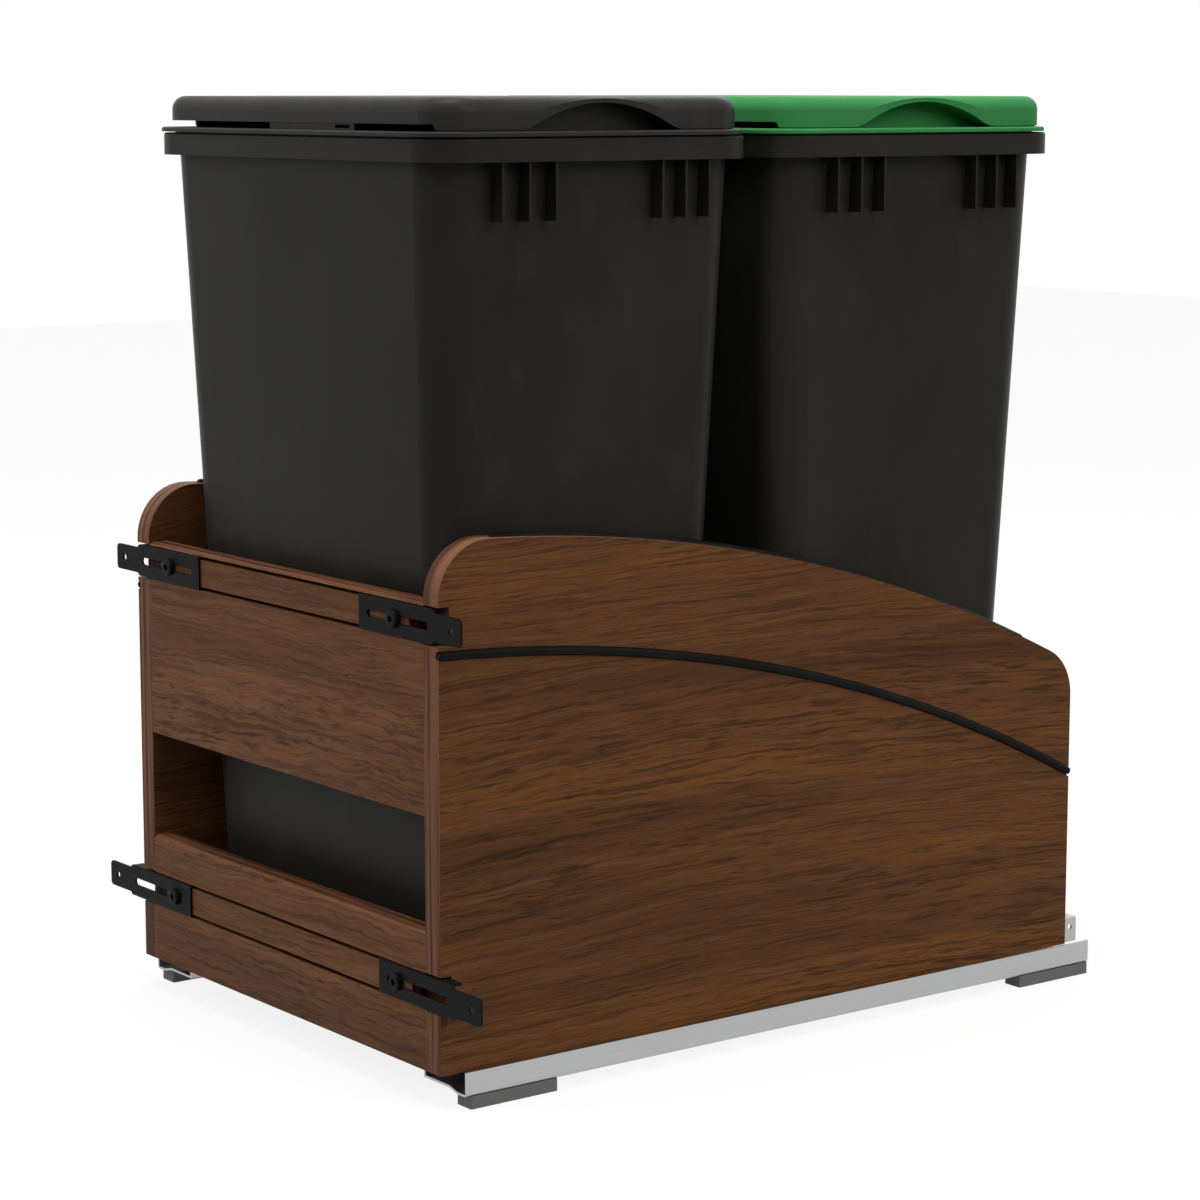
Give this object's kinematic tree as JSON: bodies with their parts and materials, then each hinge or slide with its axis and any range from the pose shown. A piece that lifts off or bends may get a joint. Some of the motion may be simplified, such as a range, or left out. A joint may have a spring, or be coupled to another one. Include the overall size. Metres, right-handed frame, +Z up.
{
  "type": "pull-out waste cabinet insert",
  "caption": "Walnut plywood pull-out tray on full-extension slides, with tall tapered bins, domed lift-off lids and adjustable door brackets.",
  "frame": {"origin": "middle of the bounding box's underside: on the cabinet floor, under the middle of the insert", "axes": "+X to the right seen from the door, +Y towards the back of the cabinet, +Z up; the door side faces -Y"},
  "size_m": [0.456, 0.5646, 0.6149],
  "materials": {
    "walnut_side": "open-grained walnut plywood, satin clear coat, grain front to back",
    "walnut_front": "walnut plywood, satin clear coat, grain across",
    "walnut_floor": "thin walnut plywood, satin clear coat",
    "dowel_wood": "pale hardwood, unfinished",
    "trim_black": "smooth black rod with a soft sheen",
    "zinc_steel": "pale zinc-plated roll-formed sheet",
    "roller_steel": "ground bright steel",
    "cage_plastic": "off-white moulded plastic",
    "foot_grey": "mid-grey moulded plastic",
    "lock_grey": "grey moulded plastic",
    "lever_orange": "moulded plastic with a fine grain",
    "bracket_black": "black powder-coated pressed steel",
    "screw_black": "black oxide steel with a low sheen",
    "bin_black": "black moulded plastic with a fine satin grain",
    "lid_charcoal": "charcoal moulded plastic with a fine satin grain",
    "lid_green": "green moulded plastic with a fine satin grain"
  },
  "bodies": {
    "cabinet_rails": {"cabinet_rail_left": "zinc_steel", "foot_front_left": "foot_grey", "foot_rear_left": "foot_grey", "cabinet_rail_right": "zinc_steel", "foot_front_right": "foot_grey", "foot_rear_right": "foot_grey", "foot_rivets": "zinc_steel"},
    "middle_rails": {"middle_rail_left": "zinc_steel", "middle_rail_right": "zinc_steel"},
    "lower_cages": {"lower_cage_left": "cage_plastic", "lower_rollers_left": "roller_steel", "lower_cage_right": "cage_plastic", "lower_rollers_right": "roller_steel"},
    "upper_cages": {"upper_cage_left": "cage_plastic", "upper_rollers_left": "roller_steel", "upper_cage_right": "cage_plastic", "upper_rollers_right": "roller_steel"},
    "tray": {"side_panel_left": "walnut_side", "side_trim_left": "trim_black", "top_trim_left": "trim_black", "drawer_member_left": "zinc_steel", "lock_housing_left": "lock_grey", "side_panel_right": "walnut_side", "side_trim_right": "trim_black", "top_trim_right": "trim_black", "drawer_member_right": "zinc_steel", "lock_housing_right": "lock_grey", "top_front_board": "walnut_front", "bottom_front_board": "walnut_front", "back_board": "walnut_front", "floor_panel": "walnut_floor", "board_dowels": "dowel_wood", "bracket_screws": "screw_black", "lock_pins": "roller_steel", "lock_screws": "roller_steel"},
    "lever_left": {"lock_lever_left": "lever_orange"},
    "bracket_upper_left": {"door_bracket_upper_left": "bracket_black"},
    "bracket_lower_left": {"door_bracket_lower_left": "bracket_black"},
    "lever_right": {"lock_lever_right": "lever_orange"},
    "bracket_upper_right": {"door_bracket_upper_right": "bracket_black"},
    "bracket_lower_right": {"door_bracket_lower_right": "bracket_black"},
    "bin_front": {"bin_front": "bin_black"},
    "lid_front": {"lid_front": "lid_charcoal"},
    "bin_rear": {"bin_rear": "bin_black"},
    "lid_rear": {"lid_rear": "lid_green"}
  },
  "joints": [
    {"name": "tray_slide", "type": "slide", "parent": "cabinet_rails", "child": "tray", "axis": [0, -1, 0], "range_m": [0, 0.52]},
    {"name": "middle_slide", "type": "slide", "parent": "cabinet_rails", "child": "middle_rails", "axis": [0, -1, 0], "range_m": [0, 0.26]},
    {"name": "lower_cage_slide", "type": "slide", "parent": "cabinet_rails", "child": "lower_cages", "axis": [0, -1, 0], "range_m": [0, 0.13]},
    {"name": "upper_cage_slide", "type": "slide", "parent": "cabinet_rails", "child": "upper_cages", "axis": [0, -1, 0], "range_m": [0, 0.39]},
    {"name": "bracket_upper_left_slide", "type": "slide", "parent": "tray", "child": "bracket_upper_left", "axis": [-1, 0, 0], "range_m": [-0.034, 0.026]},
    {"name": "bracket_lower_left_slide", "type": "slide", "parent": "tray", "child": "bracket_lower_left", "axis": [-1, 0, 0], "range_m": [-0.053, 0.0075]},
    {"name": "lever_left_pivot", "type": "hinge", "parent": "tray", "child": "lever_left", "pos_m": [-0.12, -0.23883, 0.03], "axis": [0, 0, -1], "range_deg": [0, 12], "stiffness_Nm_per_rad": 0.02},
    {"name": "bracket_upper_right_slide", "type": "slide", "parent": "tray", "child": "bracket_upper_right", "axis": [1, 0, 0], "range_m": [-0.034, 0.026]},
    {"name": "bracket_lower_right_slide", "type": "slide", "parent": "tray", "child": "bracket_lower_right", "axis": [1, 0, 0], "range_m": [-0.053, 0.0075]},
    {"name": "lever_right_pivot", "type": "hinge", "parent": "tray", "child": "lever_right", "pos_m": [0.12, -0.23883, 0.03], "axis": [0, 0, 1], "range_deg": [0, 12], "stiffness_Nm_per_rad": 0.02},
    {"name": "bin_front_lift", "type": "slide", "parent": "tray", "child": "bin_front", "axis": [0, 0, 1], "range_m": [0, 0.34]},
    {"name": "lid_front_lift", "type": "slide", "parent": "bin_front", "child": "lid_front", "axis": [0, 0, 1], "range_m": [0, 0.06]},
    {"name": "bin_rear_lift", "type": "slide", "parent": "tray", "child": "bin_rear", "axis": [0, 0, 1], "range_m": [0, 0.34]},
    {"name": "lid_rear_lift", "type": "slide", "parent": "bin_rear", "child": "lid_rear", "axis": [0, 0, 1], "range_m": [0, 0.06]}
  ],
  "couplings": [
    {"joint": "middle_slide", "follows": "tray_slide", "ratio": 0.5},
    {"joint": "lower_cage_slide", "follows": "tray_slide", "ratio": 0.25},
    {"joint": "upper_cage_slide", "follows": "tray_slide", "ratio": 0.75}
  ]
}
